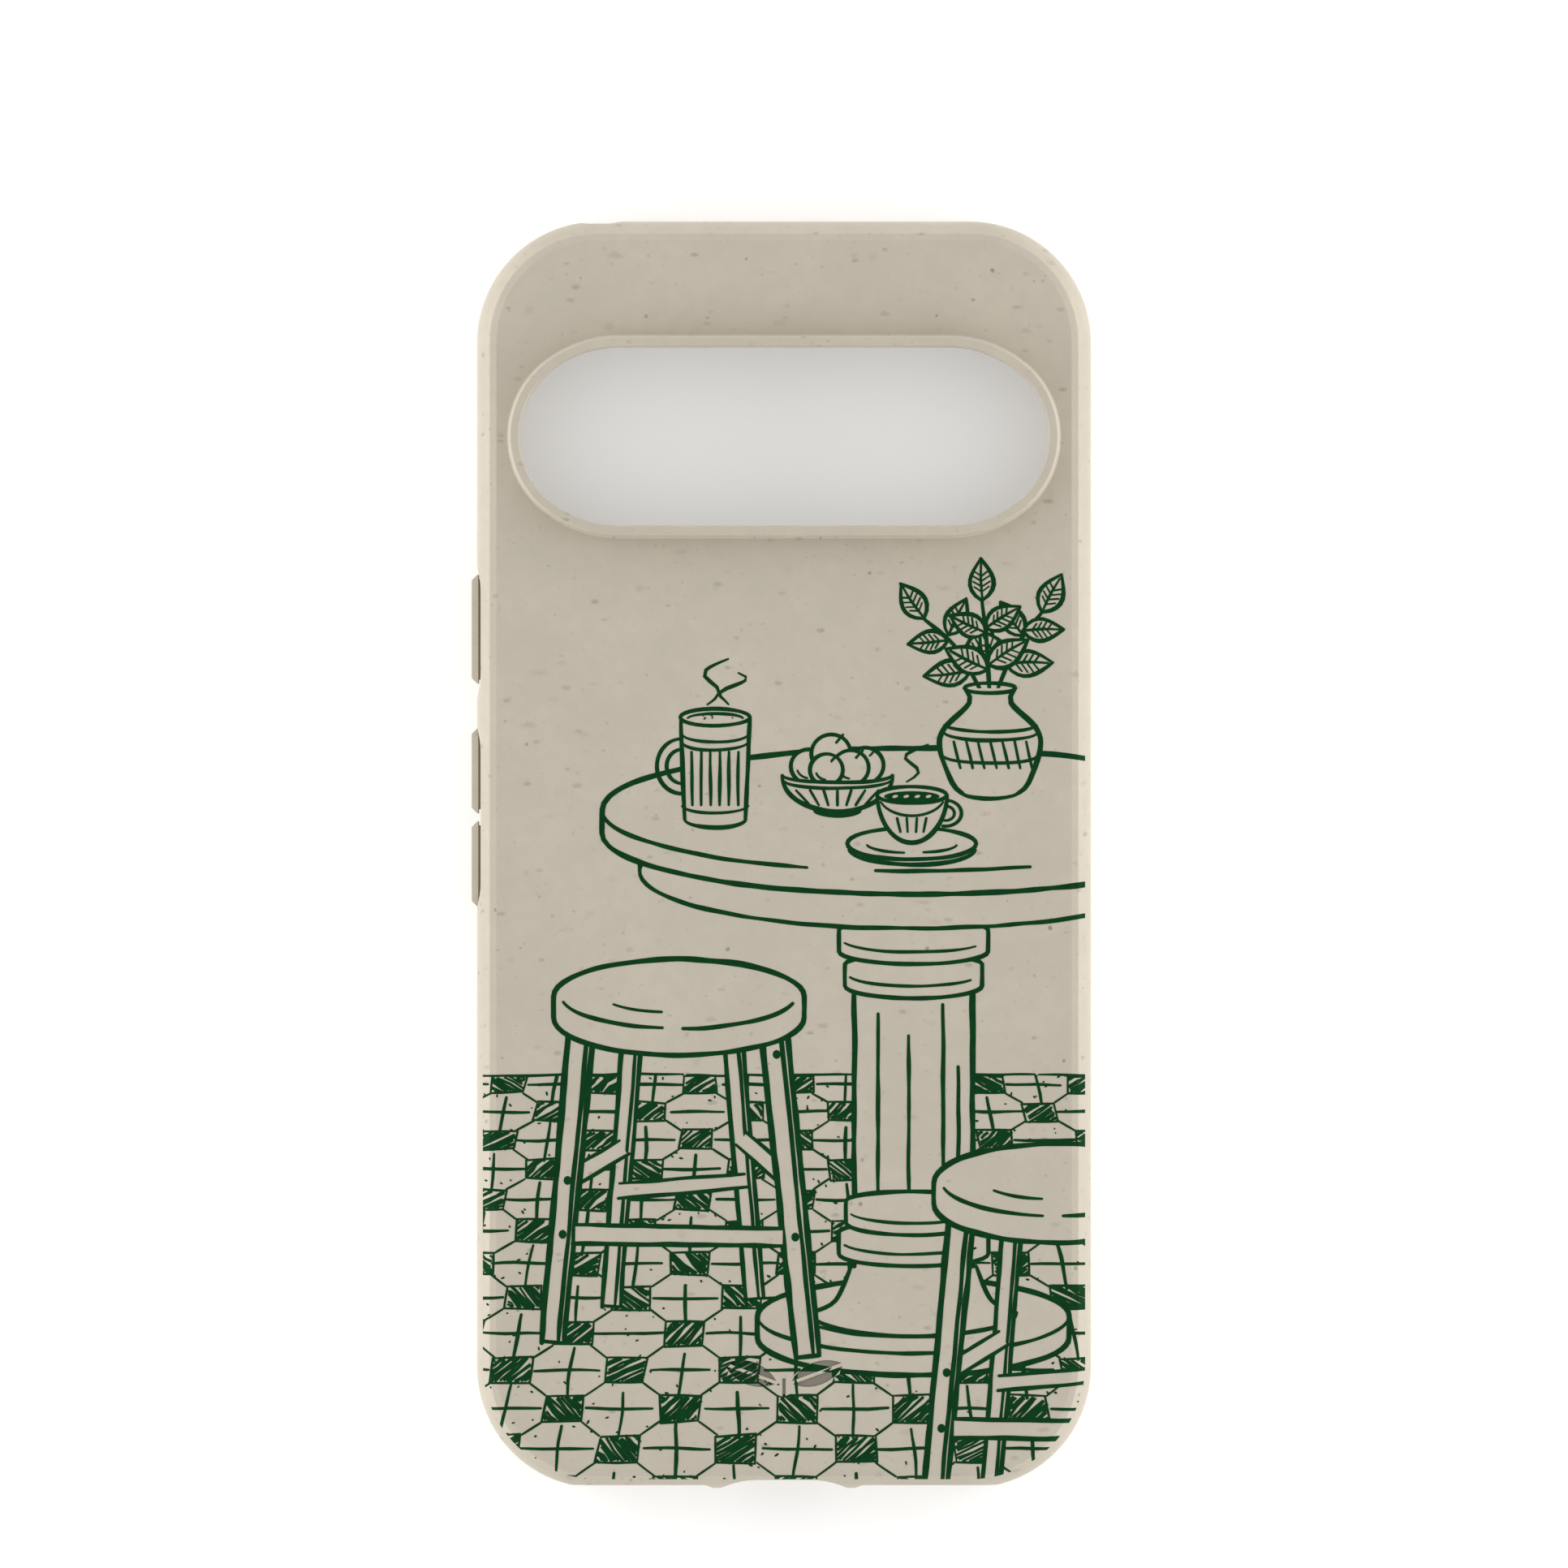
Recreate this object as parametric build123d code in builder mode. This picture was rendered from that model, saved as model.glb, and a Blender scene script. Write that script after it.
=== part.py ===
from build123d import *
from math import atan2, cos, degrees, radians, sin, sqrt
import os

# Protective case for a slab phone with a raised camera bar, in millimetres.
#
# The case lies open side down: its front rim stands on Z = 0, its back faces +Z and the phone's top end
# points along +Y. X = 0 and Y = 0 are the middle of the shell, and the side buttons stand out along -X.

# ---- The phone that the case is made for ----
PHONE_WIDTH = 72.0
PHONE_LENGTH = 152.8
PHONE_THICKNESS = 8.6
PHONE_CORNER = 13.0

# ---- Shell: walls, pocket and front rim ----
FIT = 0.1  # free play between the phone and each wall
WALL = 1.9
BACK_THICKNESS = 1.7
RIM_HEIGHT = 1.2  # how far the front rim stands above the screen
RIM_REACH = 1.1  # how far it reaches over the screen's edge
RIM_OUTER_RADIUS = 1.1
RIM_INNER_CHAMFER = 0.6
POCKET_FLOOR_RADIUS = 1.2
POCKET_RIM_RADIUS = 0.5

POCKET_WIDTH = PHONE_WIDTH + 2 * FIT
POCKET_LENGTH = PHONE_LENGTH + 2 * FIT
POCKET_CORNER = PHONE_CORNER + FIT
POCKET_FLOOR = RIM_HEIGHT + PHONE_THICKNESS + FIT
CASE_WIDTH = POCKET_WIDTH + 2 * WALL
CASE_LENGTH = POCKET_LENGTH + 2 * WALL
CASE_CORNER = POCKET_CORNER + WALL
BACK_TOP = POCKET_FLOOR + BACK_THICKNESS
MID_HEIGHT = RIM_HEIGHT + PHONE_THICKNESS / 2  # ports and buttons sit at the phone's mid thickness
OVERCUT = 1.0  # how far a cut runs on past the face that it comes out of

# ---- Two facets between the side and the back ----
FACET = 1.6  # 45 degree facet, as wide as it is high
BEVEL_WIDTH = 0.85
BEVEL_DROP = 0.27
FACET_Z = BACK_TOP - BEVEL_DROP - FACET
BEVEL_Z = BACK_TOP - BEVEL_DROP
SIDE_BLEND = 2.4
CREASE_BLEND = 0.3

# ---- Camera window and the lip around it ----
WINDOW_LENGTH = 65.4
WINDOW_HEIGHT = 22.14
WINDOW_Y = 51.7
WINDOW_TIP_RADIUS = 10.4
WINDOW_TIP_ANGLE = 52.0  # half the angle that the arc at each end turns through
LIP_WIDTH = 1.25
LIP_HEIGHT = 2.6
LIP_DRAFT = 1.0
LIP_BASE_RADIUS = 0.3
LIP_OUTER_RADIUS = 0.35
LIP_INNER_RADIUS = 0.2
LIP_TOP = BACK_TOP + LIP_HEIGHT
LIP_SPAN = WINDOW_HEIGHT / 2 + LIP_WIDTH + LIP_HEIGHT  # from the window's middle to past the lip's foot

# ---- Scoops in the outer wall: depth, and the length of the smooth ramp at each end ----
SCOOP_LEAD = 0.02  # a scoop starts this far outside the wall, so it never just touches it
BUTTON_SCOOP = (0.47, 4.2)
PORT_SCOOP = (1.1, 5.0)
SOUND_SCOOP = (0.42, 1.8)
MIC_SCOOP = (0.3, 2.8)
BUTTON_SCOOP_PLACES = ((27.5, 18.6), (4.65, 24.6))  # middle along Y, length
PORT_SCOOP_LENGTH = 16.6
PORT_SCOOP_CONVEX = 0.15
SOUND_SCOOP_START = 8.3
SOUND_SCOOP_END = 36.0
SOUND_SCOOP_LENGTH = SOUND_SCOOP_END - SOUND_SCOOP_START
SOUND_SCOOP_MIDDLE = (SOUND_SCOOP_END + SOUND_SCOOP_START) / 2
MIC_X = -23.0
MIC_SCOOP_LENGTH = 7.4

# ---- Openings in the end walls ----
PORT_LENGTH = 12.8
PORT_HEIGHT = 6.4
PORT_CORNER = 2.6
SOUND_SLOT_LENGTH = 12.4
SOUND_SLOT_HEIGHT = 2.8
SOUND_SLOT_X = 16.9
MIC_HOLE_RADIUS = 0.9
OPENING_EDGE_RADIUS = 0.25

# ---- Side buttons: name, middle along Y, length ----
BUTTONS = (
    ("power_button", 27.95, 13.5),
    ("volume_up_button", 10.4, 10.55),
    ("volume_down_button", -1.15, 10.55),
)
BUTTON_HEIGHT = 4.2
BUTTON_CORNER = 0.5
BUTTON_END_CHAMFER = 0.74
BUTTON_EDGE_RADIUS = 0.12
BUTTON_PROUD = 0.75  # how far a cap stands out past the side of the shell
BUTTON_TRAVEL = 0.3
BUTTON_GAP = 0.25  # open groove around each cap
CAP_DEPTH = 0.87
WAIST_INSET = 0.5  # a groove this deep runs around the cap, just outside the wall
WAIST_DEPTH = 0.53

# ---- Elastic webs that hold the buttons: a cap's neck goes through a slot, and its foot is behind it ----
WEBS = (("power_button_web", BUTTONS[:1]), ("volume_buttons_web", BUTTONS[1:]))
WEB_THICKNESS = 0.3
WEB_MARGIN = 1.0  # a web reaches this far past its caps
WEB_CORNER = 1.6
WEB_SEAT_DEPTH = 0.9  # recess in the wall's inner face that a web is bonded into
WEB_SEAT_GAP = 0.05
NECK_INSET = 0.9  # a neck is this much smaller than its cap on every side
NECK_CORNER = 0.5
NECK_GAP = 0.05
FOOT_REACH = 0.4  # the foot reaches this far past the neck
FOOT_CORNER = NECK_CORNER + FOOT_REACH

SIDE_X = -CASE_WIDTH / 2
POCKET_X = -POCKET_WIDTH / 2
WEB_SEAT_X = POCKET_X - WEB_SEAT_DEPTH
CAP_FACE_X = SIDE_X - BUTTON_PROUD
CAP_BACK_X = CAP_FACE_X + CAP_DEPTH
WAIST_END_X = CAP_BACK_X + WAIST_DEPTH
FOOT_X = WEB_SEAT_X + WEB_THICKNESS + NECK_GAP
FOOT_END_X = POCKET_X - BUTTON_TRAVEL  # a pressed button's foot comes flush with the pocket's wall

# ---- Shallow sprout mark in the back ----
MARK_Y = -65.0
MARK_DEPTH = 0.15
LEAF_LENGTH = 7.0
LEAF_WIDTH = 2.9
LEAF_RIB = 0.4
LEAF_TILT = 20.0
LEAF_SPREAD = 4.1  # from the stem to a leaf's middle
LEAF_RISE = 0.9
STEM_LENGTH = 2.4


def wall_plane(x, y, inward):
    """A plane on an outer wall, flat on Z = 0, whose own Y points into the wall."""
    return Plane(origin=(x, y, 0), x_dir=Vector(*inward).cross(Vector(0, 0, 1)), z_dir=(0, 0, 1))


def scoop(length, depth, ramp, convex=0.5):
    """A long shallow scoop with a smooth ramp at each end; convex is the part of a ramp that bulges out."""
    start = Vector(-length / 2, -SCOOP_LEAD)
    foot = Vector(-length / 2 + ramp, depth)
    turn = start + (foot - start) * convex
    with BuildSketch() as outline:
        with BuildLine():
            bulge = TangentArc(start, turn, tangent=(1, 0))
            TangentArc(turn, foot, tangent=bulge % 1)
            mirror(about=Plane.YZ)
            Line(foot, (-foot.X, foot.Y))
            Polyline(start, (start.X, -OVERCUT), (-start.X, -OVERCUT), (-start.X, start.Y))
        make_face()
    return outline.sketch


def window_outline(grow):
    """The camera window: straight long sides, and ends of three tangent arcs; grow moves it outwards."""
    half_length = WINDOW_LENGTH / 2 + grow
    half_height = WINDOW_HEIGHT / 2 + grow
    tip_radius = WINDOW_TIP_RADIUS + grow
    tip_sin = sin(radians(WINDOW_TIP_ANGLE))
    tip_cos = cos(radians(WINDOW_TIP_ANGLE))
    tip = Vector(half_length, 0)
    turn = Vector(half_length - tip_radius * (1 - tip_cos), tip_radius * tip_sin)
    shoulder_radius = (half_height - turn.Y) / (1 - tip_sin)
    shoulder = Vector(turn.X - shoulder_radius * tip_cos, half_height)
    with BuildSketch() as outline:
        with BuildLine():
            end = TangentArc(tip, turn, tangent=(0, 1))
            TangentArc(turn, shoulder, tangent=end % 1)
            Line(shoulder, (0, half_height))
            mirror(about=Plane.YZ)
            mirror(about=Plane.XZ)
        make_face()
    return outline.sketch


def leaf():
    """A pointed leaf along X whose two halves are parted by a rib."""
    with BuildSketch() as outline:
        with BuildLine():
            ThreePointArc((-LEAF_LENGTH / 2, 0), (0, LEAF_WIDTH / 2), (LEAF_LENGTH / 2, 0))
            ThreePointArc((-LEAF_LENGTH / 2, 0), (0, -LEAF_WIDTH / 2), (LEAF_LENGTH / 2, 0))
        make_face()
        Rectangle(LEAF_LENGTH, LEAF_RIB, mode=Mode.SUBTRACT)
    return outline.sketch


def sprout_mark():
    """A plain sprout: two leaves, each parted by a rib, that lean outwards from a short stem."""
    with BuildSketch() as sprout:
        for side in (-1, 1):
            middle = (side * LEAF_SPREAD, LEAF_RISE)
            with Locations(Location(middle, side * LEAF_TILT)):
                add(leaf())
        with Locations((0, -LEAF_RISE)):
            Rectangle(LEAF_RIB, STEM_LENGTH)
    return sprout.sketch


def around_caps(caps, margin, corner):
    """A rounded rectangle on the side wall that reaches a margin past a row of button caps."""
    ends = [middle + side * length / 2 for _, middle, length in caps for side in (-1, 1)]
    with BuildSketch() as outline:
        with Locations(((min(ends) + max(ends)) / 2, MID_HEIGHT)):
            RectangleRounded(max(ends) - min(ends) + 2 * margin, BUTTON_HEIGHT + 2 * margin, corner)
    return outline.sketch


def at_height(part, z):
    """The part's edges that lie at one height."""
    return part.edges().filter_by_position(Axis.Z, z - 1e-4, z + 1e-4)


def last_edges(part, z):
    """The edges at one height that the part's last step made."""
    return part.edges(Select.LAST).filter_by_position(Axis.Z, z - 1e-4, z + 1e-4)


# ---- Shell ----
with BuildPart() as shell:
    with BuildSketch():
        RectangleRounded(CASE_WIDTH, CASE_LENGTH, CASE_CORNER)
    extrude(amount=FACET_Z)
    with BuildSketch(Plane.XY.offset(FACET_Z)):
        RectangleRounded(CASE_WIDTH, CASE_LENGTH, CASE_CORNER)
    extrude(amount=FACET, taper=45)
    with BuildSketch(Plane.XY.offset(BEVEL_Z)):
        RectangleRounded(CASE_WIDTH - 2 * FACET, CASE_LENGTH - 2 * FACET, CASE_CORNER - FACET)
    extrude(amount=BEVEL_DROP, taper=degrees(atan2(BEVEL_WIDTH, BEVEL_DROP)))
    fillet(at_height(shell, BACK_TOP), CREASE_BLEND)
    fillet(at_height(shell, BEVEL_Z), CREASE_BLEND)
    fillet(at_height(shell, FACET_Z), SIDE_BLEND)
    fillet(at_height(shell, 0), RIM_OUTER_RADIUS)

    # The lip around the camera window, blended into the back
    with BuildSketch(Plane.XY.offset(LIP_TOP)):
        with Locations((0, WINDOW_Y)):
            add(window_outline(LIP_WIDTH))
    extrude(amount=-LIP_HEIGHT, taper=-LIP_DRAFT)
    back_edges = at_height(shell, BACK_TOP)
    fillet(back_edges.filter_by_position(Axis.Y, WINDOW_Y - LIP_SPAN, WINDOW_Y + LIP_SPAN), LIP_BASE_RADIUS)
    fillet(at_height(shell, LIP_TOP), LIP_OUTER_RADIUS)

    # The pocket that holds the phone, the opening that its screen shows through, and the camera window
    with BuildSketch(Plane.XY.offset(RIM_HEIGHT)):
        RectangleRounded(POCKET_WIDTH, POCKET_LENGTH, POCKET_CORNER)
    extrude(amount=POCKET_FLOOR - RIM_HEIGHT, mode=Mode.SUBTRACT)
    fillet(at_height(shell, POCKET_FLOOR), POCKET_FLOOR_RADIUS)
    fillet(at_height(shell, RIM_HEIGHT), POCKET_RIM_RADIUS)
    with BuildSketch():
        screen = (POCKET_WIDTH - 2 * RIM_REACH, POCKET_LENGTH - 2 * RIM_REACH)
        RectangleRounded(*screen, POCKET_CORNER - RIM_REACH)
    extrude(amount=RIM_HEIGHT, mode=Mode.SUBTRACT)
    chamfer(last_edges(shell, 0), RIM_INNER_CHAMFER)
    with BuildSketch(Plane.XY.offset(POCKET_FLOOR)):
        with Locations((0, WINDOW_Y)):
            add(window_outline(0))
    extrude(amount=LIP_TOP - POCKET_FLOOR, mode=Mode.SUBTRACT)
    fillet(last_edges(shell, LIP_TOP) + last_edges(shell, POCKET_FLOOR), LIP_INNER_RADIUS)

    # Scoops in the outer wall: around the buttons, the charging port, the sound slots and the microphone
    for middle, length in BUTTON_SCOOP_PLACES:
        with BuildSketch(wall_plane(SIDE_X, middle, (1, 0, 0))):
            add(scoop(length, *BUTTON_SCOOP))
        extrude(amount=BACK_TOP, mode=Mode.SUBTRACT)
    with BuildSketch(wall_plane(0, -CASE_LENGTH / 2, (0, 1, 0))):
        add(scoop(PORT_SCOOP_LENGTH, *PORT_SCOOP, PORT_SCOOP_CONVEX))
        with Locations((-SOUND_SCOOP_MIDDLE, 0), (SOUND_SCOOP_MIDDLE, 0)):
            add(scoop(SOUND_SCOOP_LENGTH, *SOUND_SCOOP))
    extrude(amount=BACK_TOP, mode=Mode.SUBTRACT)
    with BuildSketch(wall_plane(MIC_X, CASE_LENGTH / 2, (0, -1, 0))):
        add(scoop(MIC_SCOOP_LENGTH, *MIC_SCOOP))
    extrude(amount=BACK_TOP, mode=Mode.SUBTRACT)

    # Openings in the end walls
    with BuildSketch(Plane.XZ.offset(CASE_LENGTH / 2)):
        with Locations((0, MID_HEIGHT)):
            RectangleRounded(PORT_LENGTH, PORT_HEIGHT, PORT_CORNER)
        with Locations((-SOUND_SLOT_X, MID_HEIGHT), (SOUND_SLOT_X, MID_HEIGHT)):
            SlotOverall(SOUND_SLOT_LENGTH, SOUND_SLOT_HEIGHT)
    extrude(amount=2 * WALL, both=True, mode=Mode.SUBTRACT)
    wall_inside = -POCKET_LENGTH / 2 - OPENING_EDGE_RADIUS
    mouths = shell.edges(Select.LAST).filter_by(lambda edge: edge.bounding_box().max.Y < wall_inside)
    fillet(mouths, OPENING_EDGE_RADIUS)
    with BuildSketch(Plane.XZ.offset(-CASE_LENGTH / 2 - OVERCUT)):
        with Locations((MIC_X, MID_HEIGHT)):
            Circle(MIC_HOLE_RADIUS)
    extrude(amount=2 * WALL, mode=Mode.SUBTRACT)

    # The wall beside the buttons: a recess inside for each web, and an opening for each cap
    for _, caps in WEBS:
        with BuildSketch(Plane.YZ.offset(WEB_SEAT_X)):
            add(around_caps(caps, WEB_MARGIN + WEB_SEAT_GAP, WEB_CORNER))
        extrude(amount=WEB_SEAT_DEPTH + OVERCUT, mode=Mode.SUBTRACT)
    for _, middle, length in BUTTONS:
        opening = (length + 2 * BUTTON_GAP, BUTTON_HEIGHT + 2 * BUTTON_GAP)
        with BuildSketch(Plane.YZ.offset(SIDE_X - OVERCUT)):
            with Locations((middle, MID_HEIGHT)):
                RectangleRounded(*opening, BUTTON_CORNER + BUTTON_GAP)
        extrude(amount=WEB_SEAT_X - SIDE_X + OVERCUT, mode=Mode.SUBTRACT)

    # Shallow sprout mark in the back
    with BuildSketch(Plane.XY.offset(BACK_TOP)):
        with Locations((0, MARK_Y)):
            add(sprout_mark())
    extrude(amount=MARK_DEPTH, dir=(0, 0, -1), mode=Mode.SUBTRACT)
shell.part.label = "shell"


# ---- Button: a cap with slanting ends, a waist, a neck through the web, and a foot behind it ----
def make_button(name, middle, length):
    neck_length = length - 2 * NECK_INSET
    neck_height = BUTTON_HEIGHT - 2 * NECK_INSET
    with BuildPart() as button:
        with BuildSketch(Plane.YZ.offset(CAP_FACE_X)):
            with Locations((middle, MID_HEIGHT)):
                RectangleRounded(length, BUTTON_HEIGHT, BUTTON_CORNER)
        extrude(amount=CAP_DEPTH)
        with BuildSketch():
            with Locations((CAP_FACE_X, middle - length / 2), (CAP_FACE_X, middle + length / 2)):
                Rectangle(sqrt(2) * BUTTON_END_CHAMFER, sqrt(2) * BUTTON_END_CHAMFER, rotation=45)
        extrude(amount=BACK_TOP, mode=Mode.SUBTRACT)
        fillet(button.edges().group_by(Axis.X)[0], BUTTON_EDGE_RADIUS)
        with BuildSketch(Plane.YZ.offset(CAP_BACK_X)):
            with Locations((middle, MID_HEIGHT)):
                RectangleRounded(length - 2 * WAIST_INSET, BUTTON_HEIGHT - 2 * WAIST_INSET, BUTTON_CORNER)
        extrude(amount=WAIST_DEPTH)
        with BuildSketch(Plane.YZ.offset(WAIST_END_X)):
            with Locations((middle, MID_HEIGHT)):
                RectangleRounded(neck_length, neck_height, NECK_CORNER)
        extrude(amount=FOOT_X - WAIST_END_X)
        with BuildSketch(Plane.YZ.offset(FOOT_X)):
            with Locations((middle, MID_HEIGHT)):
                RectangleRounded(neck_length + 2 * FOOT_REACH, neck_height + 2 * FOOT_REACH, FOOT_CORNER)
        extrude(amount=FOOT_END_X - FOOT_X)
    button.part.label = name
    return button.part


# ---- Web: a thin elastic plate with a slot for each button's neck ----
def make_web(name, caps):
    with BuildPart() as web:
        with BuildSketch(Plane.YZ.offset(WEB_SEAT_X)):
            add(around_caps(caps, WEB_MARGIN, WEB_CORNER))
            for _, middle, length in caps:
                with Locations((middle, MID_HEIGHT)):
                    slot_length = length - 2 * NECK_INSET + 2 * NECK_GAP
                    slot_height = BUTTON_HEIGHT - 2 * NECK_INSET + 2 * NECK_GAP
                    RectangleRounded(slot_length, slot_height, NECK_CORNER, mode=Mode.SUBTRACT)
        extrude(amount=WEB_THICKNESS)
    web.part.label = name
    return web.part


pieces = [shell.part]
pieces += [make_button(*values) for values in BUTTONS]
pieces += [make_web(*values) for values in WEBS]

os.makedirs("parts", exist_ok=True)
for piece in pieces:
    export_step(piece, f"parts/{piece.label}.step")
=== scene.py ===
import bmesh
import bpy
import itertools
import random
from math import cos, pi, radians, sin, sqrt
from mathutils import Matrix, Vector, noise
from mathutils.bvhtree import BVHTree
from mathutils.geometry import delaunay_2d_cdt


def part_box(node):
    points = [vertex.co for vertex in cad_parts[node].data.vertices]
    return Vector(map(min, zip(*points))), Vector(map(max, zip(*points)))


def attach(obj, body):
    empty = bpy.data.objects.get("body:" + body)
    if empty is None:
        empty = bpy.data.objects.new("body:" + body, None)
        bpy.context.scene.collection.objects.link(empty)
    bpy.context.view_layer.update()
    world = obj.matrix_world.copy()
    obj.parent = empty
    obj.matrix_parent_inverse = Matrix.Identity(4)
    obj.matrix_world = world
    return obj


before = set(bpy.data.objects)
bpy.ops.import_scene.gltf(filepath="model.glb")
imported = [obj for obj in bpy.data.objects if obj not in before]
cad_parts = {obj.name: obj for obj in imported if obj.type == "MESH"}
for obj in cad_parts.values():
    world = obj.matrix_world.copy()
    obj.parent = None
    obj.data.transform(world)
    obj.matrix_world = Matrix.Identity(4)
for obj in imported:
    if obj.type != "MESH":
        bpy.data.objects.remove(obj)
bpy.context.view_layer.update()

# A phone case that lies open side down, seen from straight above. Lengths are in metres, except in the ink
# drawing, which is laid out in millimetres on the case's back, and in the materials.

MM = 0.001
shell_low, shell_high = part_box("shell")

# ---- View ----
VIEW_WIDTH = 0.19345  # what the picture's width takes in, at the height of the case's highest point
VIEW_MIDDLE_Y = 0.00876
CAMERA_HEIGHT = 1.5
FARTHEST_SEEN = 10
SENSOR = 36.0  # millimetres

# ---- Light ----
DOME = 0.77
SIDE_POWER = 3.1
TOP_POWER = 0.95
BOTTOM_POWER = 0.4
SIDE_LIGHT = (0.6, 0.13)  # how far out from the middle, and how high
END_LIGHT = (0.7, 0.15)
LIGHT_SIZE = (0.8, 0.22)
LIT_POINT = (0, 0, 0.01)
FLOOR_REACH = 3
FLOOR_GAP = 0.00005  # keeps the floor's face clear of the rim's
FLOOR_GLOW = 0.17

# ---- Colours, linear ----
SHELL_COLOUR = (0.495, 0.446, 0.362)
# Buttons: the shell's own plastic with painted light, made lighter to offset the shade they sit in beside the
# case's wall
BUTTON_PAINTED_LIGHT_COLOUR = (0.55, 0.50, 0.407)
WEB_COLOUR = (0.05, 0.047, 0.042)
INK_COLOUR = (0.0, 0.036, 0.007)
FLOOR_COLOUR = (0.95, 0.95, 0.95)

# ---- Flecks in the plastic, in millimetres: how they lie, how strongly they show, their colour ----
FLECKS = (
    (dict(cell=1.0, size=0.155, chance=0.53, shift=3.1, soft=0.8), 0.37, (0.30, 0.265, 0.205)),
    (dict(cell=1.7, size=0.225, chance=0.43, turn=25, stretch=(0.6, 1, 1), shift=17.0, ragged=0.9),
     0.53, (0.25, 0.215, 0.165)),
    (dict(cell=1.9, size=0.245, chance=0.39, turn=-50, stretch=(0.5, 1, 1), shift=41.0, ragged=0.8),
     0.53, (0.25, 0.225, 0.175)),
    (dict(cell=2.5, size=0.205, chance=0.42, shift=29.0, ragged=0.6, soft=0.45), 0.65, (0.15, 0.13, 0.10)),
    (dict(cell=2.6, size=0.305, chance=0.43, turn=70, stretch=(0.42, 1, 1), shift=57.0, ragged=1.2),
     0.5, (0.40, 0.28, 0.23)),
    (dict(cell=3.4, size=0.36, chance=0.36, turn=10, shift=83.0, ragged=1.3, soft=0.9),
     0.3, (0.27, 0.25, 0.20)),
)

# ---- Sprout mark sunk into the back, in millimetres: the box that holds its floor, and how dark it is ----
MARK_LOW = (-9.0, -71.0, 11.35)
MARK_HIGH = (9.0, -59.0, 11.53)
MARK_SHADE = 0.42

# ---- Printed field, in millimetres ----
PRINT_SIDE = shell_high[0] / MM - 0.75
PRINT_LOW = shell_low[1] / MM + 1.2
PRINT_HIGH = 38.0  # the print ends below the camera lip's foot
PRINT_CORNER = 14.2
FILM_ABOVE = 0.025
FILM_BELOW = 0.02
LOWEST_INK = 8.0  # faces of the shell below this height carry no ink
UPWARD = 0.02  # nor do faces whose normal points up less than this
FLAT_ENOUGH = 0.9998  # two faces whose normals' product is at least this have no fold between them
SAME_HEIGHT = 0.01  # heights of one point on two faces that differ by less are one height
STRAIGHT_ENOUGH = 0.004  # how far a point may lie off a run that leaves it out
LONGEST_RUN = 2.0  # no run gets longer than this
FOLD_MARGIN = 0.1  # how far outside the printed field the shell's folds still count
WELD = 0.0001  # points nearer than this are one point
LAYER_STEP = 0.01  # how far apart the drawing's layers lie while their order is looked up
ABOVE_LAYERS = 1000  # where the rays down to the drawing's layers start
ABOVE_SHELL = 50  # where those down to the shell start

# ---- Pen, in millimetres ----
PEN_GAIN = 1.08  # all pen lines are this much wider than their nominal width
TAPER_LENGTH = 2.5  # an open line thins over this length at each end
CALM_LENGTH = 2.0  # a closed line's wavering dies down over this length on both sides of its join
WIDTH_WAVER = 0.28  # share of its width that a line gains and loses
WIDTH_RATE = 0.33  # how fast its width changes along it
DRIFT_RATE = 0.22  # how fast its course does
HATCH_HALF_WIDTH = (0.13, 0.21)
HATCH_STEP = (0.21, 0.38)
LEAF_PEN = 0.45

# The drawing, back to front: points, and True for ink or False for a patch that hides what is behind it.
layers = []
pen_numbers = itertools.count(1)  # each pen line wavers in its own way
dice = random.Random(11)


# ======== Pen ========
def jitter(place, seed, scale):
    """Smooth repeatable noise from -1 to 1 along a line."""
    return noise.noise(Vector((place * scale, seed * 7.31, seed * 1.7 + 0.5)))


def smooth_path(points, closed=False, step=0.7):
    """Points about one step apart along a smooth curve through the given points."""
    count = len(points)
    path = []
    spans = count if closed else count - 1
    for i in range(spans):
        if closed:
            around = [points[(i + k) % count] for k in (-1, 0, 1, 2)]
        else:
            around = [points[min(max(i + k, 0), count - 1)] for k in (-1, 0, 1, 2)]
        a, b, c, d = (Vector(p) for p in around)
        pieces = max(1, round((c - b).length / step))
        for k in range(pieces):
            t = k / pieces
            path.append(0.5 * (2 * b + (c - a) * t + (2 * a - 5 * b + 4 * c - d) * t * t
                               + (3 * b - a - 3 * c + d) * t ** 3))
    if not closed:
        path.append(Vector(points[-1]))
    return path


def pen(points, width=0.45, closed=False, wobble=0.1, taper=0.25, step=0.7):
    """A pen line: its width and course waver, and its ends are round and a little thinner."""
    seed = next(pen_numbers)
    path = smooth_path(points, closed, step)
    if closed:
        path.append(path[0].copy())
    length = sum((b - a).length for a, b in zip(path, path[1:]))
    left, right, radii = [], [], []
    place = 0.0
    for i, point in enumerate(path):
        if i:
            place += (point - path[i - 1]).length
        ahead, behind = path[min(i + 1, len(path) - 1)], path[max(i - 1, 0)]
        if closed and i in (0, len(path) - 1):
            ahead, behind = path[1], path[-2]
        along = (ahead - behind).normalized()
        side = Vector((-along.y, along.x))
        end = min(place, length - place)
        fade = 1.0 if closed else 1 - taper * max(0.0, 1 - end / TAPER_LENGTH)
        calm = min(1.0, end / CALM_LENGTH) if closed else 1.0
        half = 0.5 * PEN_GAIN * width * fade * (1 + WIDTH_WAVER * calm * jitter(place, seed, WIDTH_RATE))
        drift = side * wobble * calm * jitter(place, seed + 50, DRIFT_RATE)
        left.append(point + drift + side * half)
        right.append(point + drift - side * half)
        radii.append(half)
    for i in range(len(path) - 1):
        if (path[i + 1] - path[i]).length > WELD:
            quad = [right[i], right[i + 1], left[i + 1], left[i]]
            if is_convex(quad):
                layers.append((quad, True))
    if not closed:
        for i in (0, len(path) - 1):
            middle = (left[i] + right[i]) / 2
            layers.append((ring(middle.x, middle.y, radii[i], radii[i], 10), True))
    return path


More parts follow.
